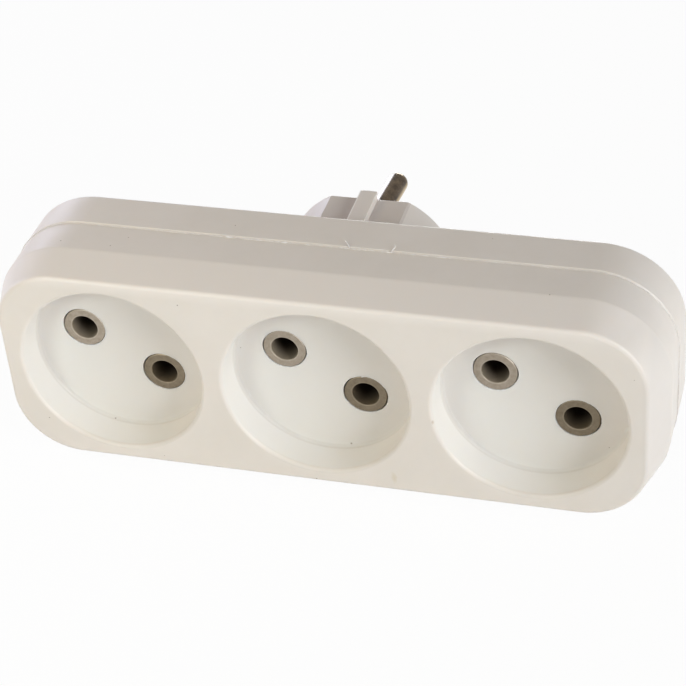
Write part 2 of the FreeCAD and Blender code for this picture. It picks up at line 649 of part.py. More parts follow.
# Plug pins: turned, with a collar inside the plug's end wall and a tail riveted through the bar's foot

def make_plug_pin(name, level):
    body = doc.addObject("PartDesign::Body", name)
    flange_end = "(Size.plug_end_wall + Size.pin_flange_thickness)"
    tail_end_z = f"({flange_end} + Size.bar_thickness)"
    head_end = f"({tail_end_z} + Size.pin_head_height)"
    profile = new_sketch(body, "Profile", "0", "XZ_Plane")
    draw_polygon(
        profile,
        ("0", f"(-{head_end})"),
        ("(Size.pin_head_radius - Size.pin_head_height / 2)", f"(-{head_end})"),
        ("Size.pin_head_radius", f"(-{tail_end_z} - Size.pin_head_height / 2)"),
        ("Size.pin_head_radius", f"(-{tail_end_z})"),
        ("Size.pin_tail_radius", f"(-{tail_end_z})"),
        ("Size.pin_tail_radius", f"(-{flange_end})"),
        ("Size.pin_flange_radius", f"(-{flange_end})"),
        ("Size.pin_flange_radius", "(-Size.plug_end_wall)"),
        ("Size.pin_root_radius", "(-Size.plug_end_wall)"),
        ("Size.pin_root_radius", "0"),
        ("Size.pin_radius", "0"),
        ("Size.pin_radius", "Size.pin_length"),
        ("0", "Size.pin_length"),
    )
    revolve(body, "Turned", profile)
    dress(body, "Fillet", "Tip", "Size.pin_tip_radius",
          lambda edge: at_depth(edge, "(-Size.pin_length)") and is_circle(edge, "Size.pin_radius"))
    place(body, "0", "0", f"({level} * Size.pin_pitch / 2)", axis_to_wall)
    return body


# Housing screws: self-tapping, driven from the wells of the rear shell into the bosses of the front shell

def make_housing_screw(name, x, y):
    body = doc.addObject("PartDesign::Body", name)
    point = "Size.screw_point"
    profile = new_sketch(body, "Profile", "0", "XZ_Plane")
    draw_polygon(
        profile,
        ("0", "(-Size.screw_length)"),
        (f"(Size.screw_radius - {point})", "(-Size.screw_length)"),
        ("Size.screw_radius", f"(-Size.screw_length + {point})"),
        ("Size.screw_radius", "0"),
        ("Size.screw_head_radius", "0"),
        ("Size.screw_head_radius", "Size.screw_head_height"),
        ("0", "Size.screw_head_height"),
    )
    revolve(body, "Turned", profile)
    dress(body, "Fillet", "HeadRound", "Size.screw_head_round",
          lambda edge: at_depth(edge, "(-Size.screw_head_height)") and is_circle(edge, "Size.screw_head_radius"))
    cross = new_sketch(body, "CrossOutline", "(-Size.screw_head_height)")
    narrow, wide = "(Size.cross_width / 2)", "Size.cross_reach"
    quarter = [(wide, narrow, "xy"), (narrow, narrow, "xy"), (narrow, wide, "xy")]
    draw_outline(cross, mirrored_twice(quarter, arcs=()))
    extrude(body, "Pocket", "Cross", cross, "Size.cross_depth")
    place(body, x, f"({seat_depth} - {plug_face})", y, axis_to_wall)
    return body


def make_all():
    pieces = [make_front_shell(), make_rear_shell()]
    pole_names = [f"{pole}_{socket}" for socket in sockets for pole in poles]
    for name, (x, y) in zip(pole_names, pole_places):
        pieces.append(make_contact_sleeve(f"contact_sleeve_{name}", x, y))
        pieces.append(make_spring_ring(f"spring_ring_{name}", x, y))
    pieces.append(make_bus_bar("bus_bar_upper"))
    pieces.append(make_bus_bar("bus_bar_lower", half_turn))
    pieces.append(make_plug_pin("plug_pin_upper", 1))
    pieces.append(make_plug_pin("plug_pin_lower", -1))
    screw_names = [f"{side}_{level}" for side in ("left", "right") for level in ("upper", "lower")]
    for name, (x, y) in zip(screw_names, screw_places):
        pieces.append(make_housing_screw(f"housing_screw_{name}", x, y))
    return pieces


pieces = make_all()
doc.recompute()
failed = [item.Name for item in doc.Objects if {"Invalid", "Error"} & set(item.State)]
if failed:
    raise ValueError(f"these features failed: {failed}")
for piece in pieces:
    if piece.Shape.isNull() or not piece.Shape.isValid() or len(piece.Shape.Solids) != 1:
        raise ValueError(f"{piece.Label} is not one sound solid")
os.makedirs("parts", exist_ok=True)
for piece in pieces:
    piece.Shape.exportStep(f"parts/{piece.Label}.step")
    box = piece.Shape.BoundBox
    print(f"{piece.Label}: {piece.Shape.Volume:.1f} mm3, {box.XLength:.2f} x {box.YLength:.2f} x {box.ZLength:.2f}")
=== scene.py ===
import math

import bmesh
import bpy
from mathutils import Matrix, Vector


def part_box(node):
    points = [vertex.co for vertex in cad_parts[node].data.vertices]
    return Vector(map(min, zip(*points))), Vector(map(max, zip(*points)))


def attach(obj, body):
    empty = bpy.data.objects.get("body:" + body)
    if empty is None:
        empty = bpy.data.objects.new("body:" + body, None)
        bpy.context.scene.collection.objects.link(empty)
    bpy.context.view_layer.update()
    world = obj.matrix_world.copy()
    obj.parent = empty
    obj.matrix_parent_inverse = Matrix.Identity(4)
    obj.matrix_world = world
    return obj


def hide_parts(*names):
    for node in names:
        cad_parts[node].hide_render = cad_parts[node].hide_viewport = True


# The adapter as it is put together: a flat housing of two ivory shells, three recessed sockets with metal
# sleeves on its front, and a round plug with two pins on its back. Metres, in the frame of the solids.

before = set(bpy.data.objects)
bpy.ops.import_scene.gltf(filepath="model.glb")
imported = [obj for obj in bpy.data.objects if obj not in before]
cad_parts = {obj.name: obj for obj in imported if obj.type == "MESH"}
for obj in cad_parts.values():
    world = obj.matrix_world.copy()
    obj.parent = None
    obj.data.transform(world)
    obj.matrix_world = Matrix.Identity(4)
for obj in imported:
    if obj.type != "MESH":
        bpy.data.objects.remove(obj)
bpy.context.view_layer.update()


# Rear shell: the back half of the housing and the round plug body, injection moulded in one piece from ivory
# plastic. It is half gloss, lets a little light in at thin edges and shows faint clouds from the moulding.
# The plug's upper flat has painted shade from the housing and the guide rib, darkest just left of the rib,
# and the rib's left edge has a painted highlight.

ivory = (0.80, 0.735, 0.685)
ivory_cloud = (0.772, 0.708, 0.655)
plastic_clouds = 70.0
plastic_roughness = 0.42
plastic_rubbing = 260.0
gloss_swing = (-0.05, 0.05)
plastic_waves = 120.0
wave_depth = 0.0001
plastic_grain = 5200.0
grain_depth = 0.00001
plastic_index = 1.49
plastic_glow = 0.25
glow_reach = (0.0012, 0.0010, 0.0008)
speck_brown = (0.20, 0.14, 0.09)
speck_edges = 9000.0
speck_swing = 0.0002
speck_share = 0.75
# Painted shade on the plug's upper flat, and a painted highlight on the guide rib's left edge.
flat_painted_shade = (0.625, 0.555, 0.520)
flat_height = 0.0164
flat_slack = 0.0003
shade_start = -0.0085
shade_full = -0.0022
shade_left_share = 0.35
shade_right_share = 0.62
# A painted highlight along the guide rib's left top edge.
rib_painted_highlight = (0.93, 0.90, 0.87)
rib_half_width = 0.00185
rib_edge_x = 0.0001 - rib_half_width
rib_edge_half_width = 0.00014
rib_top = (0.0181, 0.0183)
rib_painted_highlight_share = 0.8
rear_y = -0.0196
rear_fade = (0.0, 0.0001)
# What a noise mostly spans, closely and widely.
noise_core = (0.35, 0.65)
noise_span = (0.3, 0.7)
rear_specks = (
    ((-0.0210, -0.0262, 0.0244), 0.00016),
    ((0.0318, -0.0225, 0.0244), 0.00014),
    ((0.0520, -0.0210, -0.0120), 0.00022),
    ((-0.0480, -0.0196, 0.0080), 0.00020),
    ((0.0090, -0.0100, -0.0170), 0.00018),
)


def node_adder(tree):
    """A short way to add nodes to a tree, with inputs that are sockets or numbers, and settings by name."""

    def add(kind, inputs=None, **settings):
        node = tree.nodes.new(kind)
        for key, setting in settings.items():
            setattr(node, key, setting)
        for key, source in (inputs or {}).items():
            if isinstance(source, bpy.types.NodeSocket):
                tree.links.new(source, node.inputs[key])
            else:
                node.inputs[key].default_value = source
        return node

    return add


def new_material(name):
    """A material, its tree, its Principled shader and the short way to add nodes."""
    material = bpy.data.materials.new(name)
    material.use_nodes = True
    tree = material.node_tree
    return material, tree, tree.nodes["Principled BSDF"], node_adder(tree)


def number_math(add, operation, *amounts):
    """What a Math node makes of its amounts."""
    return add("ShaderNodeMath", dict(enumerate(amounts)), operation=operation).outputs["Value"]


def vector_math(add, operation, *vectors):
    """The outputs of a Vector Math node."""
    return add("ShaderNodeVectorMath", dict(enumerate(vectors)), operation=operation).outputs


def times(add, product, *others):
    """The product of several amounts."""
    for other in others:
        product = number_math(add, "MULTIPLY", product, other)
    return product


def noise(add, place, scale, detail, roughness=0.5, seed=None):
    """The outputs of a noise, with a pattern of its own where a seed is given."""
    inputs = {"Vector": place, "Scale": scale, "Detail": detail, "Roughness": roughness}
    if seed is None:
        return add("ShaderNodeTexNoise", inputs).outputs
    return add("ShaderNodeTexNoise", {**inputs, "W": seed}, noise_dimensions="4D").outputs


def raise_by(add, height, strength, depth, under=None):
    """A surface normal raised by a height, on top of another normal where one is given."""
    inputs = {"Height": height, "Strength": strength, "Distance": depth}
    if under is not None:
        inputs["Normal"] = under
    return add("ShaderNodeBump", inputs).outputs["Normal"]


def blend_colours(add, amount, first, second):
    """A mix of two colours, each a socket or three numbers, by an amount from 0 to 1."""
    ends = [end if isinstance(end, bpy.types.NodeSocket) else (*end, 1) for end in (first, second)]
    return add("ShaderNodeMix", {0: amount, 6: ends[0], 7: ends[1]}, data_type="RGBA").outputs[2]


def from_to(add, amount, start, end, low=0.0, high=1.0):
    """An amount that runs from low to high while another runs from start to end, and stays there."""
    return add("ShaderNodeMapRange", {"Value": amount, "From Min": start, "From Max": end, "To Min": low,
                                      "To Max": high}).outputs["Result"]


def past(base, steps):
    """A start and an end, each a step past a base."""
    return [base + step for step in steps]


def dress(piece, material):
    """Gives a piece one material."""
    piece.data.materials.clear()
    piece.data.materials.append(material)


def let_light_in(shader, share):
    """Lets a share of the light scatter under the surface, about a millimetre deep."""
    shader.inputs["Subsurface Weight"].default_value = share
    shader.inputs["Subsurface Radius"].default_value = glow_reach
    shader.inputs["Subsurface Scale"].default_value = 1.0


def make_ivory_plastic(name, specks, tint):
    """Ivory plastic with clouds, a tint that paints light and shade and any stains, dark specks, a fine grain
    and the soft waves of a cooling wall.
    """
    material, tree, shader, add = new_material(name)
    place = add("ShaderNodeTexCoord").outputs["Object"]
    cloud = noise(add, place, plastic_clouds, 4.0, 0.6)["Fac"]
    colour = blend_colours(add, from_to(add, cloud, *noise_core), ivory, ivory_cloud)
    colour = tint(add, place, colour)
    ragged = noise(add, place, speck_edges, 2.0)["Color"]
    shift = vector_math(add, "MULTIPLY", ragged, (speck_swing, speck_swing, speck_swing))["Vector"]
    moved = vector_math(add, "ADD", place, shift)["Vector"]
    speckled = 0.0
    for centre, radius in specks:
        middle = [number + speck_swing / 2 for number in centre]
        away = vector_math(add, "DISTANCE", moved, middle)["Value"]
        speckled = number_math(add, "MAXIMUM", speckled, from_to(add, away, radius, 0.5 * radius))
    colour = blend_colours(add, from_to(add, speckled, 0.0, 1.0, 0.0, speck_share), colour, speck_brown)
    tree.links.new(colour, shader.inputs["Base Color"])
    rub = noise(add, place, plastic_rubbing, 5.0, 0.65)["Fac"]
    gloss = from_to(add, rub, *noise_span, *past(plastic_roughness, gloss_swing))
    tree.links.new(gloss, shader.inputs["Roughness"])
    waves = raise_by(add, noise(add, place, plastic_waves, 1.0)["Fac"], 0.5, wave_depth)
    grain = raise_by(add, noise(add, place, plastic_grain, 2.0, 0.6)["Fac"], 0.25, grain_depth, waves)
    tree.links.new(grain, shader.inputs["Normal"])
    shader.inputs["IOR"].default_value = plastic_index
    let_light_in(shader, plastic_glow)
    return material


def paint_plug_shade_and_highlight(add, place, colour):
    """Painted shade on the plug's upper flat, darkest beside the guide rib, and a painted highlight on the
    rib's left edge.
    """
    where = add("ShaderNodeSeparateXYZ", {"Vector": place}).outputs
    behind = from_to(add, where["Y"], *past(rear_y, rear_fade))
    level = number_math(add, "COMPARE", where["Z"], flat_height, flat_slack)
    left = from_to(add, where["X"], shade_start, shade_full, shade_left_share, 1.0)
    right = from_to(add, where["X"], -rib_half_width, rib_half_width, 1.0, shade_right_share)
    edge = number_math(add, "COMPARE", where["X"], rib_edge_x, rib_edge_half_width)
    top = from_to(add, where["Z"], *rib_top, 0.0, rib_painted_highlight_share)
    colour = blend_colours(add, times(add, behind, level, left, right), colour, flat_painted_shade)
    return blend_colours(add, times(add, behind, edge, top), colour, rib_painted_highlight)


dress(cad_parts["rear_shell"], make_ivory_plastic("rear_shell_plastic", rear_specks, paint_plug_shade_and_highlight))


# Plug pins: two 4.8 mm pins of nickel-plated brass with domed tips, turned on a lathe and seated from inside
# in the plug's end wall. The plating has gone brown. The upper pin leans a little from being pulled askew,
# and has a painted white highlight along its upper left side and a painted golden glint along its right side.

pin_brown = (0.050, 0.036, 0.025)
pin_bright = (0.125, 0.092, 0.060)
pin_brass = (0.42, 0.29, 0.13)
# The leaning pin's painted highlight, white, and its painted glint, golden.
pin_painted_highlight = (0.76, 0.72, 0.72)
pin_painted_glint = (0.58, 0.43, 0.23)
# Both colours, roughness, the scratches' stretch, the patches' scale and the scratches' strength.
pin_finish = (pin_brown, pin_bright, 0.30, (0.3, 2.0, 0.3), 600.0, 0.3)
pin_height = 0.0095
pin_tip = 0.0190
pin_tip_worn = 0.0022
pin_tip_worn_share = 0.5
pin_lean = math.radians(4.2)
pin_bend_length = 0.0015
pin_bend_cuts = 3
# Each painted strip's turn up from the right, half width and soft edge in degrees, and its colour.
pin_painted_strips = ((134, 26, 8, pin_painted_highlight), (-30, 12, 34, pin_painted_glint))
strip_end = (-0.0009, -0.0021)
fleck_scale = 1500.0
fleck_share = 0.03
metal_gloss_swing = (0.06, -0.06)
scratch_scale = 4000.0
scratch_depth = 0.00001
weld = 0.000001
sharp_angle = math.radians(30)


def make_worn_metal(name, dark, bright, roughness, stretch, scale, scratches=0.35, wear_and_highlights=None):
    """Metal with stained patches, and scratches along the direction that the stretch makes long."""
    material, tree, shader, add = new_material(name)
    place = add("ShaderNodeTexCoord").outputs["Object"]
    patches = noise(add, place, scale, 5.0, 0.6)["Fac"]
    colour = blend_colours(add, from_to(add, patches, *noise_core), dark, bright)
    if wear_and_highlights:
        colour = wear_and_highlights(add, place, colour)
    tree.links.new(colour, shader.inputs["Base Color"])
    gloss = from_to(add, patches, *noise_span, *past(roughness, metal_gloss_swing))
    tree.links.new(gloss, shader.inputs["Roughness"])
    drawn_out = add("ShaderNodeMapping", {"Vector": place, "Scale": stretch}).outputs["Vector"]
    lines = noise(add, drawn_out, scratch_scale, 3.0)["Fac"]
    tree.links.new(raise_by(add, lines, scratches, scratch_depth), shader.inputs["Normal"])
    shader.inputs["Metallic"].default_value = 1.0
    return material


def worn_tip(add, place, colour):
    """Brass that shows through at a pin's tip."""
    depth = add("ShaderNodeSeparateXYZ", {"Vector": place}).outputs["Y"]
    worn = from_to(add, depth, pin_tip - pin_tip_worn, pin_tip, 0.0, pin_tip_worn_share)
    return blend_colours(add, worn, colour, pin_brass)


def worn_tip_and_painted_highlights(add, place, colour):
    """The worn tip, and a painted white highlight and a painted golden glint along a pin that leans."""
    colour = worn_tip(add, place, colour)
    where = add("ShaderNodeSeparateXYZ", {"Vector": place}).outputs
    across = number_math(add, "MULTIPLY_ADD", where["Y"], -math.tan(pin_lean), where["X"])
    height = number_math(add, "SUBTRACT", where["Z"], pin_height)
    outward = add("ShaderNodeCombineXYZ", {"X": across, "Z": height}).outputs["Vector"]
    outward = vector_math(add, "NORMALIZE", outward)["Vector"]
    flecks = noise(add, place, fleck_scale, 3.0)["Fac"]
    shaft = from_to(add, where["Y"], *past(pin_tip, strip_end))
    for turn, half_width, soft, strip in pin_painted_strips:
        facing = (math.cos(math.radians(turn)), 0.0, math.sin(math.radians(turn)))
        near = vector_math(add, "DOT_PRODUCT", outward, facing)["Value"]
        near = number_math(add, "MULTIPLY_ADD", flecks, fleck_share, near)
        edge = (math.cos(math.radians(half_width + soft)), math.cos(math.radians(half_width)))
        colour = blend_colours(add, times(add, from_to(add, near, *edge), shaft), colour, strip)
    return colour


pin_metal = make_worn_metal("pin_nickel", *pin_finish, worn_tip)
leaning_pin_metal = make_worn_metal("leaning_pin_nickel", *pin_finish, worn_tip_and_painted_highlights)
dress(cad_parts["plug_pin_lower"], pin_metal)
leaning_pin_mesh = bpy.data.meshes.new("leaning_pin")
shape = bmesh.new()
shape.from_mesh(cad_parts["plug_pin_upper"].data)
bmesh.ops.remove_doubles(shape, verts=shape.verts, dist=weld)
for cut in range(1, pin_bend_cuts + 1):
    along = cut * pin_bend_length / pin_bend_cuts
    bmesh.ops.bisect_plane(shape, geom=shape.verts[:] + shape.edges[:] + shape.faces[:], dist=weld,
                           plane_co=(0.0, along, 0.0), plane_no=(0.0, 1.0, 0.0))
for point in shape.verts:
    out = max(point.co.y, 0.0)
    bent = min(out, pin_bend_length)
    point.co.x += math.tan(pin_lean) * (out - bent + bent * bent / (2 * pin_bend_length))
shape.to_mesh(leaning_pin_mesh)
shape.free()
leaning_pin_mesh.shade_smooth()
leaning_pin_mesh.set_sharp_from_angle(angle=sharp_angle)
leaning_pin = bpy.data.objects.new("leaning_pin", leaning_pin_mesh)
bpy.context.scene.collection.objects.link(leaning_pin)
dress(leaning_pin, leaning_pin_metal)
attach(leaning_pin, "root")
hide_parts("plug_pin_upper")


# Bus bars: two strips of 1 mm brass sheet, stamped and bent. Each joins one pole of the three sockets to its
# plug pin, whose tail is riveted through the bar's foot. Rolling has left fine lines along the strip.

bar_brass_dark = (0.52, 0.34, 0.12)
bar_brass_light = (0.72, 0.51, 0.22)

bar_brass = make_worn_metal("bar_brass", bar_brass_dark, bar_brass_light, 0.34, (0.1, 1.0, 1.0), 180.0, 0.4)
for level in ("upper", "lower"):
    dress(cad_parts["bus_bar_" + level], bar_brass)


# Contact sleeves: six turned sleeves with a flat collar that shows in the recess floor and a slotted tail
# that is peened behind its bar. Dull nickel plating with lathe rings, brown with tarnish inside the bore.
# Their colours are scaled by painted light and shade: the upper ones lighter, the lower ones, nearer the
# recess wall, darker and browner, and each pair a little darker than the pair to its left.

sleeve_nickel = (0.310, 0.262, 0.205)
sleeve_nickel_light = (0.375, 0.322, 0.260)
sleeve_worn = (0.520, 0.465, 0.390)
sleeve_dull = (0.32, 0.265, 0.20)
sleeve_tarnish = (0.070, 0.050, 0.036)
# The brown tone of the sleeves that are painted as shaded.
sleeve_painted_brown = (0.90, 0.86, 0.76)
painted_brown_below = 0.9
# Each socket's name, step from the middle, and painted shades of its upper and lower sleeve.
sleeve_painted_shades = (("left", -1, 1.12, 0.74), ("middle", 0, 1.02, 0.68), ("right", 1, 0.97, 0.63))
sleeve_roughness = 0.46
sleeve_gloss_swing = (0.07, -0.07)
collar_radius = 0.0045
socket_spacing = 0.0437
pole_distance = 0.0095
pole_turn = math.radians(30)
pole_across = pole_distance * math.cos(pole_turn)
pole_up = pole_distance * math.sin(pole_turn)
collar_face = -0.03995
bore_radius = 0.0028
lip_fade = (0.00034, 0.00016)
rim_fade = (-0.00024, -0.00010)
face_fade = (0.0006, 0.0002)
worn_share = 0.65
bore_fade = (0.00020, 0.00002)
bore_darkening = (0.0, 0.0048)
bore_shine = 0.15
sleeve_stains = 900.0
pit_depth = 0.00003
ring_pitch = 0.00030
ring_depth = 0.00002


def make_sleeve_nickel(name, centre_x, centre_z, painted_shade):
    """Dull nickel with lathe rings round the sleeve's own axis and a tarnished bore, scaled by a painted
    shade.
    """
    brown = (1.0, 1.0, 1.0) if painted_shade > painted_brown_below else sleeve_painted_brown
    nickel, light, worn_edge, dull_bore = [
        [painted_shade * part * tone for part, tone in zip(metal, brown)]
        for metal in (sleeve_nickel, sleeve_nickel_light, sleeve_worn, sleeve_dull)
    ]
    material, tree, shader, add = new_material(name)
    place = add("ShaderNodeTexCoord").outputs["Object"]
    centred = add("ShaderNodeMapping", {"Vector": place, "Location": (-centre_x, 0.0, -centre_z)})
    flat = vector_math(add, "MULTIPLY", centred.outputs["Vector"], (1.0, 0.0, 1.0))["Vector"]
    radius = vector_math(add, "LENGTH", flat)["Value"]
    depth = add("ShaderNodeSeparateXYZ", {"Vector": place}).outputs["Y"]
    stains = noise(add, place, sleeve_stains, 5.0, 0.6)["Fac"]
    colour = blend_colours(add, from_to(add, stains, *noise_core), nickel, light)
    lip = from_to(add, radius, *past(bore_radius, lip_fade))
    rim = from_to(add, radius, *past(collar_radius, rim_fade))
    front = from_to(add, depth, *past(collar_face, face_fade), 0.0, worn_share)
    worn = times(add, number_math(add, "MAXIMUM", lip, rim), front)
    colour = blend_colours(add, worn, colour, worn_edge)
    inside = from_to(add, radius, *past(bore_radius, bore_fade))
    deep = from_to(add, depth, *past(collar_face, bore_darkening))
    colour = blend_colours(add, inside, colour, blend_colours(add, deep, dull_bore, sleeve_tarnish))
    tree.links.new(colour, shader.inputs["Base Color"])
    tree.links.new(from_to(add, inside, 0.0, 1.0, 1.0, bore_shine), shader.inputs["Metallic"])
    gloss = from_to(add, stains, *noise_span, *past(sleeve_roughness, sleeve_gloss_swing))
    tree.links.new(gloss, shader.inputs["Roughness"])
    rings = number_math(add, "SINE", times(add, radius, 2 * math.pi / ring_pitch))
    lathe = raise_by(add, rings, 0.12, ring_depth)
    tree.links.new(raise_by(add, stains, 0.3, pit_depth, lathe), shader.inputs["Normal"])
    return material


for place_name, step, upper_painted_shade, lower_painted_shade in sleeve_painted_shades:
    for level, side, painted_shade in (("upper", -1, upper_painted_shade), ("lower", 1, lower_painted_shade)):
        sleeve_x = step * socket_spacing + side * pole_across
        sleeve_z = -side * pole_up
        sleeve_metal = make_sleeve_nickel(f"sleeve_nickel_{level}_{place_name}", sleeve_x, sleeve_z, painted_shade)
        dress(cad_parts[f"contact_sleeve_{level}_{place_name}"], sleeve_metal)


# Spring rings: an open ring of flat spring steel in the groove of each slotted tail, which presses the tail
# on a plug's pin. The steel is blued by its hardening.

spring_steel_dark = (0.10, 0.10, 0.12)
spring_steel_light = (0.20, 0.20, 0.23)

spring_steel = make_worn_metal("spring_steel", spring_steel_dark, spring_steel_light, 0.34, (1.0, 0.1, 1.0),
                               900.0)
for node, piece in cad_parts.items():
    if node.startswith("spring_ring"):
        dress(piece, spring_steel)


# Front shell: the front half of the housing with the three recesses, one injection moulding in the same
# ivory. The recesses are painted whiter as light, most of all at their lower left, with painted shade on
# their lower walls, lower rims and floor corners, and the leaning edge has painted light along the top and
# painted shade at the right end.

# Painted light for the recesses, and painted shade for their lower walls, lower rims and floor corners.
recess_painted_light = (0.825, 0.795, 0.762)
rim_painted_shade = (0.700, 0.650, 0.600)
wall_painted_shade = (0.778, 0.755, 0.728)
corner_painted_shade = (0.640, 0.600, 0.550)
# Painted light for the top of the leaning edge, and painted shade for its right end.
slope_painted_light = (0.838, 0.772, 0.728)
slope_painted_shade = (0.735, 0.680, 0.640)
stain_yellow = (0.62, 0.52, 0.36)
rust_brown = (0.42, 0.27, 0.15)
recess_radius = 0.0195
rim_round = 0.0008
slope_y = -0.0392
front_y = -0.0480
floor_y = -0.0400
row_end = (0.0, -0.0008)
white_edge = (0.0013, 0.0004)
white_start = 0.00003
white_wall = (-0.0020, -0.0004)
white_wall_share = 0.85
white_lean = (0.021, -0.016)
white_least = 0.22
low_slant = 0.3
low_part = (0.009, 0.016)
low_share = 0.60
bottom_part = (-0.0150, -0.0190)
# Steps past the recess's radius where each band of painted shade starts and ends, and depths where it starts
# and ends.
wall_band = (-0.0006, -0.0003), (0.0003, 0.0001), past(front_y, (0.0006, 0.0012))
rim_band = (-0.0002, 0.0), (0.0009, 0.0006), past(front_y, (0.0011, 0.0008))
corner_band = (-0.0008, -0.0004), (0.0003, 0.0001), past(floor_y, (-0.0011, -0.0006))
corner_share = 0.50
slope_fade = (0.0002, -0.0006)
slope_top = (0.0200, 0.0222)
slope_right_end = (0.0655, 0.0672)
smear_scale = 1500.0
# Each stain's centre, stretch, size, share and colour: a drip on the face and a rust speck on a rim.
stains = (
    ((0.0154, -0.0480, -0.0192), (1.5, 1.0, 0.6), 0.0011, 0.45, stain_yellow),
    ((0.0242, -0.0478, -0.0035), (1.0, 1.0, 0.7), 0.0004, 0.45, rust_brown),
)
front_specks = (
    ((-0.0553, -0.0369, 0.0243), 0.00024),
    ((-0.0443, -0.0371, 0.0243), 0.00015),
    ((-0.0416, -0.0337, 0.0243), 0.00014),
    ((-0.0267, -0.0480, 0.0192), 0.00018),
    ((-0.0599, -0.0480, -0.0142), 0.00016),
    ((-0.0484, -0.0404, -0.0188), 0.00022),
    ((-0.0348, -0.0480, -0.0209), 0.00012),
    ((-0.0177, -0.0400, 0.0039), 0.00014),
    ((-0.0014, -0.0479, -0.0221), 0.00022),
    ((0.0042, -0.0400, -0.0183), 0.00026),
    ((0.0465, -0.0392, 0.0243), 0.00017),
    ((0.0582, -0.0400, -0.0113), 0.00014),
    ((0.0626, -0.0473, -0.0049), 0.00013),
    ((0.0642, -0.0480, 0.0127), 0.00011),
)


def front_painted_light_and_stains(add, place, colour):
    """Painted light in the recesses, painted shade on their lower walls, lower rims and floor corners,
    painted light and shade on the leaning edge, and the stains.
    """
    where = add("ShaderNodeSeparateXYZ", {"Vector": place}).outputs
    folded = number_math(add, "WRAP", where["X"], socket_spacing / 2, -socket_spacing / 2)
    spot = add("ShaderNodeCombineXYZ", {"X": folded, "Z": where["Z"]}).outputs["Vector"]
    radius = vector_math(add, "LENGTH", spot)["Value"]
    near = from_to(add, radius, *past(recess_radius, white_edge))
    below = from_to(add, where["Y"], *past(front_y, (white_start, rim_round)))
    wall = from_to(add, radius, *past(recess_radius, white_wall), white_wall_share, 1.0)
    sideways = number_math(add, "ABSOLUTE", where["X"])
    among_sockets = from_to(add, sideways, *past(1.5 * socket_spacing, row_end))
    low_left = from_to(add, number_math(add, "ADD", folded, where["Z"]), *white_lean, white_least, 1.0)
    colour = blend_colours(add, times(add, near, below, wall, among_sockets, low_left), colour, recess_painted_light)
    low = number_math(add, "SUBTRACT", times(add, folded, low_slant), where["Z"])
    low = from_to(add, low, *low_part, 0.0, low_share)
    bottom = from_to(add, where["Z"], *bottom_part)
    for (inner, outer, depth), share, masks, painted_shade in (
        (wall_band, 1.0, (bottom, among_sockets), wall_painted_shade),
        (rim_band, 1.0, (low, among_sockets), rim_painted_shade),
        (corner_band, corner_share, (among_sockets,), corner_painted_shade),
    ):
        risen = from_to(add, radius, *past(recess_radius, inner))
        fallen = from_to(add, radius, *past(recess_radius, outer))
        deep = from_to(add, where["Y"], *depth, 0.0, share)
        colour = blend_colours(add, times(add, risen, fallen, deep, *masks), colour, painted_shade)
    # Painted light along the leaning edge's top and painted shade at its right end.
    slope = from_to(add, where["Y"], *past(slope_y, slope_fade))
    high = from_to(add, where["Z"], *slope_top)
    colour = blend_colours(add, times(add, high, slope), colour, slope_painted_light)
    end = from_to(add, where["X"], *slope_right_end)
    colour = blend_colours(add, times(add, end, slope), colour, slope_painted_shade)
    smear = noise(add, place, smear_scale, 3.0)["Fac"]
    for centre, stretch, size, share, stain in stains:
        off = vector_math(add, "SUBTRACT", place, centre)["Vector"]
        off = vector_math(add, "MULTIPLY", off, stretch)["Vector"]
        away = vector_math(add, "LENGTH", off)["Value"]
        ragged = number_math(add, "MULTIPLY_ADD", smear, size, away)
        colour = blend_colours(add, from_to(add, ragged, 1.5 * size, 0.6 * size, 0.0, share), colour, stain)
    return colour


front_plastic = make_ivory_plastic("front_shell_plastic", front_specks, front_painted_light_and_stains)
dress(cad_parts["front_shell"], front_plastic)


# Housing screws: four self-tapping screws of zinc-plated steel, driven from the wells of the rear shell into
# the front shell's bosses, which closes the housing. Their heads are bright, with a trace of yellow.

screw_zinc_dark = (0.42, 0.40, 0.34)
screw_zinc_light = (0.60, 0.58, 0.52)

screw_zinc = make_worn_metal("screw_zinc", screw_zinc_dark, screw_zinc_light, 0.30, (1.0, 1.0, 1.0), 800.0)
for node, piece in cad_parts.items():
    if node.startswith("housing_screw"):
        dress(piece, screw_zinc)


# Mould flash: plastic that crept out of the mould. It stands along the joint of the shells as a thin ragged
# band, thicker in places, closes part of the gap round each collar, and has torn into two curls and a crumb.

flash_white = (0.91, 0.875, 0.865)
flash_ivory = (0.82, 0.770, 0.740)
flash_roughness = 0.38
flash_glow = 0.3
flash_half_length = 0.07037
flash_half_height = 0.02437
flash_corner = 0.0169
flash_corner_points = 24
joint_y = -0.03040
flash_step = 0.00030
flash_thread = 0.00009
flash_flatten = (1.0, 2.2, 1.0)
flash_wander = 0.00024
flash_winding = 320.0
flash_lumps = 700.0
flash_lump_span = (0.48, 0.75)
flash_least = 0.45
flash_swollen = 2.4
flash_far_share = 0.10
flash_full_reach = 0.015
flash_middle = -0.0040
flash_reach = 0.034
flash_seed = 4.0
flash_clouds = 1200.0
flash_cloud_span = (0.42, 0.62)
flash_pit_depth = 0.00003
thread_sides = 8
collar_bead = 0.00019
collar_bead_radius = 0.00470
collar_bead_points = 120
collar_bead_y = -0.03986
collar_bead_fade = (-0.15, 0.30)
collar_bead_least = 0.05
collar_bead_lumps = 900.0
collar_bead_thin = 0.65
# Each collar's socket and side, the bead's turn in degrees, its lobes, and how far it opens between them.
collar_beads = (
    (-1, -1, 30, 1.0, -0.45),
    (-1, 1, 25, 1.0, -0.55),
    (0, -1, -85, 2.0, -0.85),
    (0, 1, -75, 2.0, -0.20),
    (1, -1, 105, 1.0, 0.00),
    (1, 1, 180, 1.0, -0.80),
)

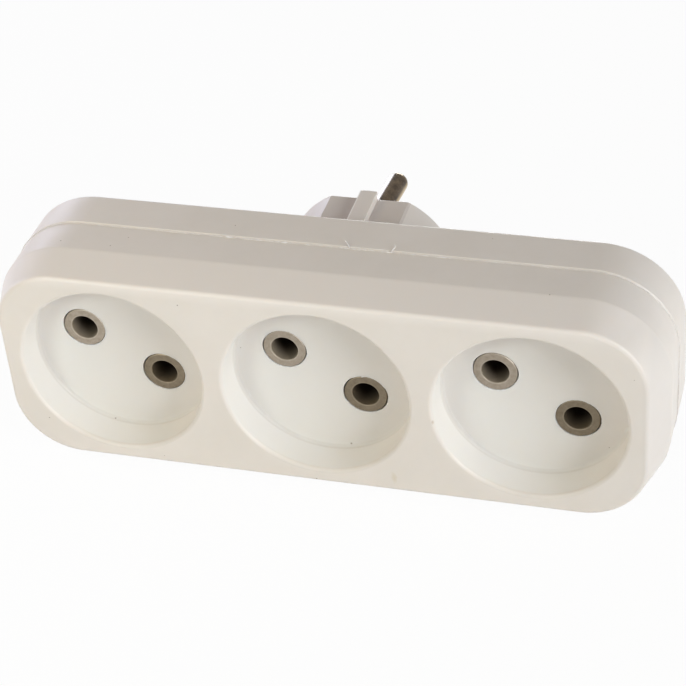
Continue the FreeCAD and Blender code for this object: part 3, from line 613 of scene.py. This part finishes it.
flash_plastic, tree, shader, add = new_material("flash_plastic")
thin = noise(add, add("ShaderNodeTexCoord").outputs["Object"], flash_clouds, 3.0)["Fac"]
white = from_to(add, thin, *flash_cloud_span)
tree.links.new(blend_colours(add, white, flash_ivory, flash_white), shader.inputs["Base Color"])
tree.links.new(raise_by(add, thin, 0.4, flash_pit_depth), shader.inputs["Normal"])
shader.inputs["Roughness"].default_value = flash_roughness
let_light_in(shader, flash_glow)


def new_tree(name, labels):
    """A Geometry Nodes tree with a mesh, numbers and a material as inputs, and a short way to add nodes."""
    group = bpy.data.node_groups.new(name, "GeometryNodeTree")
    group.interface.new_socket("Geometry", in_out="INPUT", socket_type="NodeSocketGeometry")
    sockets = {}
    for label in labels:
        kind = "NodeSocketMaterial" if label == "Plastic" else "NodeSocketFloat"
        sockets[label] = group.interface.new_socket(label, in_out="INPUT", socket_type=kind).identifier
    group.interface.new_socket("Geometry", in_out="OUTPUT", socket_type="NodeSocketGeometry")
    return group, sockets, group.nodes.new("NodeGroupInput").outputs, node_adder(group)


def sweep(add, given, path, thickness, flatten=(1.0, 1.0, 1.0)):
    """The end of a flash tree: a thread of a given thickness along a path, made real, in the plastic."""
    circle = add("GeometryNodeCurvePrimitiveCircle", {"Resolution": thread_sides, "Radius": given["Thread"]})
    profile = add("GeometryNodeTransform", {"Geometry": circle.outputs["Curve"], "Scale": flatten})
    thread = add("GeometryNodeCurveToMesh", {"Curve": path, "Profile Curve": profile.outputs["Geometry"],
                                             "Scale": thickness, "Fill Caps": True})
    smooth = add("GeometryNodeSetShadeSmooth", {"Geometry": thread.outputs["Mesh"]})
    real = add("GeometryNodeRealizeInstances", {"Geometry": smooth.outputs["Geometry"]})
    coated = add("GeometryNodeSetMaterial", {"Geometry": real.outputs["Geometry"],
                                             "Material": given["Plastic"]})
    add("NodeGroupOutput", {"Geometry": coated.outputs["Geometry"]})


def make_joint_tree(labels):
    """A ragged band along a rounded outline that lies flat in one depth."""
    group, sockets, given, add = new_tree("joint_flash", labels)
    width = times(add, given["Half Length"], 2.0)
    height = times(add, given["Half Height"], 2.0)
    outline = add("GeometryNodeCurvePrimitiveQuadrilateral", {"Width": width, "Height": height})
    rounded = add("GeometryNodeFilletCurve", {"Curve": outline.outputs["Curve"], "Radius": given["Corner"],
                                              "Count": flash_corner_points, "Limit Radius": True},
                  mode="POLY")
    depth = add("ShaderNodeCombineXYZ", {"Y": given["Depth"]}).outputs["Vector"]
    upright = add("GeometryNodeTransform", {"Geometry": rounded.outputs["Curve"], "Translation": depth,
                                            "Rotation": (math.pi / 2, 0.0, 0.0)})
    path = add("GeometryNodeResampleCurve", {"Curve": upright.outputs["Geometry"], "Length": given["Step"]},
               mode="LENGTH")
    where = add("GeometryNodeInputPosition").outputs["Position"]
    wind = noise(add, where, flash_winding, 3.0, seed=given["Seed"])["Color"]
    swing = vector_math(add, "SUBTRACT", wind, (0.5, 0.5, 0.5))["Vector"]
    reach = add("ShaderNodeVectorMath", {0: swing, "Scale": given["Wander"]}, operation="SCALE")
    ragged = add("GeometryNodeSetPosition", {"Geometry": path.outputs["Curve"],
                                             "Offset": reach.outputs["Vector"]})
    lumps = noise(add, where, flash_lumps, 4.0, 0.7, given["Seed"])["Fac"]
    middle = add("ShaderNodeCombineXYZ", {"X": given["Middle"], "Y": given["Depth"],
                                          "Z": given["Half Height"]})
    away = vector_math(add, "DISTANCE", where, middle.outputs["Vector"])["Value"]
    thick = from_to(add, lumps, *flash_lump_span, 0.0, flash_swollen)
    where_thick = from_to(add, away, given["Reach"], flash_full_reach, flash_far_share, 1.0)
    swollen = number_math(add, "MULTIPLY_ADD", thick, where_thick, flash_least)
    sweep(add, given, ragged.outputs["Geometry"], swollen, flash_flatten)
    return group, sockets


def make_collar_tree(labels):
    """A bead round each point of a mesh, closed where its attributes turn, lobes and open say so."""
    group, sockets, given, add = new_tree("collar_flash", labels)

    def attribute(name):
        return add("GeometryNodeInputNamedAttribute", {"Name": name}, data_type="FLOAT").outputs["Attribute"]

    ring = add("GeometryNodeCurvePrimitiveCircle", {"Resolution": collar_bead_points,
                                                    "Radius": given["Ring"]})
    upright = add("GeometryNodeTransform", {"Geometry": ring.outputs["Curve"],
                                            "Rotation": (math.pi / 2, 0.0, 0.0)})
    turned = add("ShaderNodeCombineXYZ", {"Y": attribute("turn")}).outputs["Vector"]
    placed = add("GeometryNodeInstanceOnPoints", {"Points": given["Geometry"], "Rotation": turned,
                                                  "Instance": upright.outputs["Geometry"]})
    rings = add("GeometryNodeRealizeInstances", {"Geometry": placed.outputs["Instances"]})
    round_once = add("GeometryNodeSplineParameter").outputs["Factor"]
    angle = times(add, round_once, 2 * math.pi, attribute("lobes"))
    closed = number_math(add, "SUBTRACT", number_math(add, "COSINE", angle), attribute("open"))
    cover = from_to(add, closed, *collar_bead_fade, collar_bead_least)
    where = add("GeometryNodeInputPosition").outputs["Position"]
    lumps = noise(add, where, collar_bead_lumps, 3.0, seed=given["Seed"])["Fac"]
    uneven = from_to(add, lumps, *noise_span, collar_bead_thin, 1.0)
    sweep(add, given, rings.outputs["Geometry"], times(add, cover, uneven))
    return group, sockets


def keep_result(name, maker):
    """A plain mesh of what a maker object shows, as a new object at the origin. The maker is removed."""
    bpy.context.view_layer.update()
    shown = maker.evaluated_get(bpy.context.evaluated_depsgraph_get())
    mesh = bpy.data.meshes.new_from_object(shown)
    mesh.name = name
    piece = bpy.data.objects.new(name, mesh)
    bpy.context.scene.collection.objects.link(piece)
    bpy.data.objects.remove(maker)
    dress(piece, flash_plastic)
    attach(piece, "root")


def grow_flash(name, make_tree, mesh, numbers):
    """Runs a flash tree on a mesh with its inputs set, and keeps the result."""
    group, sockets = make_tree(list(numbers))
    maker = bpy.data.objects.new(name + "_maker", mesh)
    bpy.context.scene.collection.objects.link(maker)
    modifier = maker.modifiers.new("flash", "NODES")
    modifier.node_group = group
    for label, number in numbers.items():
        modifier[sockets[label]] = number
    keep_result(name, maker)


grow_flash("mould_flash", make_joint_tree, bpy.data.meshes.new("joint_start"), {
    "Half Length": flash_half_length, "Half Height": flash_half_height, "Corner": flash_corner,
    "Depth": joint_y, "Step": flash_step, "Thread": flash_thread, "Wander": flash_wander,
    "Middle": flash_middle, "Reach": flash_reach, "Seed": flash_seed, "Plastic": flash_plastic,
})

collar_points = bpy.data.meshes.new("collar_points")
collar_points.from_pydata([
    (step * socket_spacing + side * pole_across, collar_bead_y, -side * pole_up)
    for step, side, turn, lobes, open_from in collar_beads
], [], [])
for column, label in ((2, "turn"), (3, "lobes"), (4, "open")):
    cells = collar_points.attributes.new(label, "FLOAT", "POINT").data
    for cell, bead in zip(cells, collar_beads):
        cell.value = math.radians(bead[column]) if label == "turn" else bead[column]
grow_flash("collar_flash", make_collar_tree, collar_points, {
    "Ring": collar_bead_radius, "Thread": collar_bead, "Seed": flash_seed, "Plastic": flash_plastic,
})

# Each curl's points and its radius, in millimetres.
curls = (
    (((4.3, -30.1, 24.3), (3.9, -29.6, 24.9), (3.2, -28.9, 25.0), (2.9, -28.4, 24.9)), 0.12),
    (((12.8, -30.1, 24.3), (13.4, -29.5, 24.8), (13.6, -28.9, 25.0), (13.2, -28.6, 25.1)), 0.13),
    (((7.7, -39.9, -0.35), (7.9, -40.1, -0.1), (8.3, -40.15, -0.05), (8.5, -39.95, -0.2)), 0.12),
)
curl_taper = 0.2
curl_lines = bpy.data.curves.new("curl_lines", "CURVE")
curl_lines.dimensions = "3D"
curl_lines.bevel_depth = 0.001
curl_lines.bevel_resolution = 1
curl_lines.use_fill_caps = True
for points, thickness in curls:
    line = curl_lines.splines.new("NURBS")
    line.points.add(len(points) - 1)
    for number, (point, corner) in enumerate(zip(line.points, points)):
        point.co = (*[size / 1000 for size in corner], 1)
        point.radius = thickness * (1.0 - curl_taper * number)
    line.order_u = 3
    line.use_endpoint_u = True
keep_result("flash_curls", bpy.data.objects.new("curl_maker", curl_lines))


# Floor: the white table that the adapter lies on, which runs out into a white background all round. The
# glow of both reaches the camera and mirror-like rays. The table's puts no light on the adapter, and the
# background's only a little, which fills the shadows.

floor_size = 3.0
floor_gap = 0.00002
floor_white = (0.90, 0.90, 0.90)
floor_roughness = 0.9
floor_glow = 0.95
shadow_fill = 0.11


def seen_directly(add):
    """1 for the camera's rays and mirror-like rays, and 0 for the rest."""
    rays = add("ShaderNodeLightPath").outputs
    return number_math(add, "MAXIMUM", rays["Is Camera Ray"], rays["Is Glossy Ray"])


floor_mesh = bpy.data.meshes.new("floor")
shape = bmesh.new()
bmesh.ops.create_grid(shape, x_segments=1, y_segments=1, size=floor_size)
shape.to_mesh(floor_mesh)
shape.free()
floor = bpy.data.objects.new("floor", floor_mesh)
bpy.context.scene.collection.objects.link(floor)
floor.location.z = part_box("rear_shell")[0].z - floor_gap
floor_paint, tree, shader, add = new_material("floor_paint")
shader.inputs["Base Color"].default_value = (*floor_white, 1)
shader.inputs["Roughness"].default_value = floor_roughness
glow = add("ShaderNodeEmission", {"Color": (1, 1, 1, 1), "Strength": 1.0}).outputs["Emission"]
glowing = times(add, seen_directly(add), floor_glow)
mix = add("ShaderNodeMixShader", {0: glowing, 1: shader.outputs["BSDF"], 2: glow})
tree.links.new(mix.outputs["Shader"], tree.nodes["Material Output"].inputs["Surface"])
dress(floor, floor_paint)

world = bpy.data.worlds.new("studio")
bpy.context.scene.world = world
world.use_nodes = True
tree = world.node_tree
add = node_adder(tree)
background = tree.nodes["Background"]
tree.links.new(from_to(add, seen_directly(add), 0.0, 1.0, shadow_fill), background.inputs["Strength"])
background.inputs["Color"].default_value = (1, 1, 1, 1)


# Lamps: soft square lamps. A strong one stands on the right with a wide one behind it, and small near ones
# at the left, warm where they stand high and bluish where they stand low. Two low strips stand past the right
# end and behind, no higher than the housing, so that they light its sides and not its top.

lamp_aim = Vector((0, -0.03, 0))
lamp_spread = 0.375
strip_height = 0.03


def add_lamp(name, azimuth, elevation, distance, power, colour=(1, 1, 1), height=None):
    """A lamp aimed at the housing from an azimuth to the right of the front, an elevation and a distance."""
    lamp = bpy.data.lights.new(name, "AREA")
    lamp.shape = "RECTANGLE"
    lamp.size = lamp_spread * distance
    lamp.size_y = height or lamp.size
    lamp.energy = power
    lamp.color = colour
    holder = bpy.data.objects.new(name, lamp)
    bpy.context.scene.collection.objects.link(holder)
    turn, rise = math.radians(azimuth), math.radians(elevation)
    away = Vector((math.sin(turn) * math.cos(rise), -math.cos(turn) * math.cos(rise), math.sin(rise)))
    holder.location = lamp_aim + away * distance
    holder.rotation_euler = away.to_track_quat("Z", "Y").to_euler()


add_lamp("right", 60, 25, 0.8, 3.10, (0.926, 0.970, 1.0))
add_lamp("right_far", 75, 10, 1.6, 5.30, (0.975, 1.0, 0.950))
add_lamp("right_end", 95, -1, 0.5, 0.15, (1.0, 0.99, 0.97), strip_height)
add_lamp("left_near", -30, 25, 0.4, 0.455, (0.937, 1.0, 0.932))
add_lamp("left_high", -60, 45, 0.4, 0.297, (1.0, 0.806, 0.508))
add_lamp("left_low", -100, 10, 0.4, 0.400, (0.656, 0.716, 1.0))
add_lamp("left_behind", -140, 10, 0.8, 0.945, (0.781, 0.810, 1.0))
add_lamp("back", 185, 0, 0.5, 0.42, (1.0, 1.0, 0.97), strip_height)


# Camera: at the photograph's angle, a little to the right and well above, with the picture's slight tilt.

camera_aim = Vector((0.0071, -0.048, 0.0142))
camera_distance = 0.3997
camera_azimuth = math.radians(18.65)
camera_elevation = math.radians(36.69)
camera_roll = math.radians(-5.31)
camera_focal_length = 107.28
camera_film_width = 36
camera_near = 0.01

lens = bpy.data.cameras.new("camera")
lens.lens = camera_focal_length
lens.sensor_width = camera_film_width
lens.clip_start = camera_near
camera = bpy.data.objects.new("camera", lens)
bpy.context.scene.collection.objects.link(camera)
away = Vector((
    math.sin(camera_azimuth) * math.cos(camera_elevation),
    -math.cos(camera_azimuth) * math.cos(camera_elevation),
    math.sin(camera_elevation),
))
turn = away.to_track_quat("Z", "Y").to_matrix().to_4x4() @ Matrix.Rotation(camera_roll, 4, "Z")
camera.matrix_world = Matrix.Translation(camera_aim + away * camera_distance) @ turn
bpy.context.scene.camera = camera
bpy.context.scene.view_settings.view_transform = "Standard"
